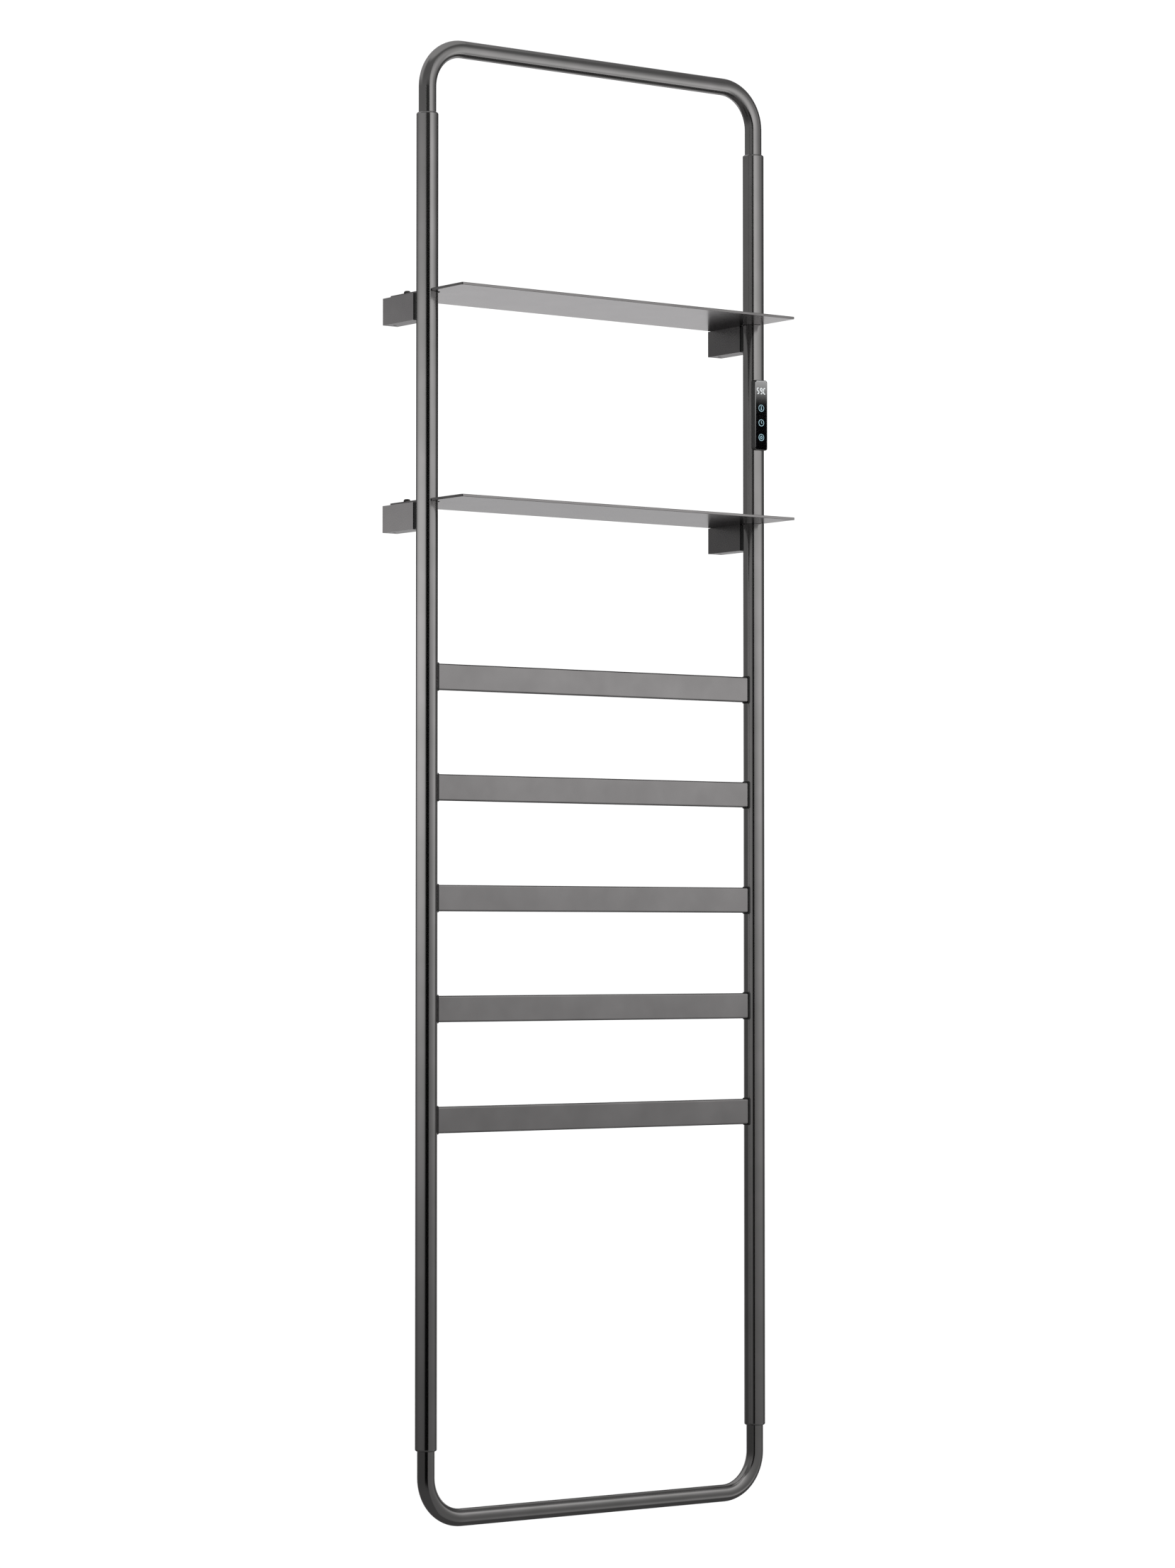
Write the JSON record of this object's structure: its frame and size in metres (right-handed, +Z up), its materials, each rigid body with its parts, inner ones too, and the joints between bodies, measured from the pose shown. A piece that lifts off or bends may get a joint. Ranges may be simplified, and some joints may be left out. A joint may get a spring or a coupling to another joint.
{
  "type": "wall-mounted heated towel rack",
  "caption": "Ladder towel warmer of round posts joined by flat heated bars, with shelves above, bent-tube ends, wall brackets and a slim touch control.",
  "frame": {"origin": "centre of the four wall screws, in the plane of the wall", "axes": "+X to the right as seen from the room, +Y into the wall, +Z up"},
  "size_m": [0.5, 0.15, 1.69],
  "materials": {
    "coated_tube": "stainless steel tube, polished and vapour-coated gunmetal grey",
    "coated_sheet": "stainless steel sheet and box tube, gunmetal grey coating, satin gloss",
    "gasket_rubber": "black silicone rubber",
    "heater_silicone": "red-brown silicone heating strip",
    "black_plastic": "black moulded nylon",
    "block_aluminium": "milled aluminium",
    "screw_steel": "bright plated steel",
    "dark_screw_steel": "blackened steel, button head",
    "housing_plastic": "dark grey moulded plastic",
    "black_glass": "black-backed tempered glass with lit readout and key rings",
    "circuit_board": "green solder mask",
    "cable_silicone": "grey silicone cable sleeve",
    "terminal_plastic": "white nylon terminal block"
  },
  "bodies": {
    "root": {"left_post": "coated_tube", "right_post": "coated_tube", "top_loop": "coated_tube", "bottom_loop": "coated_tube", "top_left_collar": "coated_tube", "top_right_collar": "coated_tube", "bottom_left_collar": "coated_tube", "bottom_right_collar": "coated_tube", "collar_screws": "screw_steel", "flat_bar_1": "coated_sheet", "flat_bar_2": "coated_sheet", "flat_bar_3": "coated_sheet", "flat_bar_4": "coated_sheet", "flat_bar_5": "coated_sheet", "bar_gaskets_left": "gasket_rubber", "bar_gaskets_right": "gasket_rubber", "heating_strip_1": "heater_silicone", "heating_strip_2": "heater_silicone", "heating_strip_3": "heater_silicone", "heating_strip_4": "heater_silicone", "heating_strip_5": "heater_silicone", "upper_shelf": "coated_sheet", "lower_shelf": "coated_sheet", "upper_left_bracket": "coated_sheet", "upper_right_bracket": "coated_sheet", "lower_left_bracket": "coated_sheet", "lower_right_bracket": "coated_sheet", "upper_left_saddle": "black_plastic", "upper_right_saddle": "black_plastic", "lower_left_saddle": "black_plastic", "lower_right_saddle": "black_plastic", "upper_left_wall_block": "block_aluminium", "upper_right_wall_block": "block_aluminium", "lower_left_wall_block": "block_aluminium", "lower_right_wall_block": "block_aluminium", "bracket_bolts": "screw_steel", "post_inserts": "screw_steel", "grub_screws": "screw_steel", "shelf_screws": "dark_screw_steel", "shelf_nuts": "screw_steel", "control_housing": "housing_plastic", "control_glass": "black_glass", "control_board": "circuit_board", "display_module": "black_plastic", "touch_key_sensors": "black_plastic", "power_board": "circuit_board", "board_header": "black_plastic", "heater_trunk": "cable_silicone", "temperature_sensor": "screw_steel", "inner_supply_lead": "cable_silicone", "terminal_block": "terminal_plastic", "supply_grommet": "gasket_rubber"}
  },
  "joints": []
}
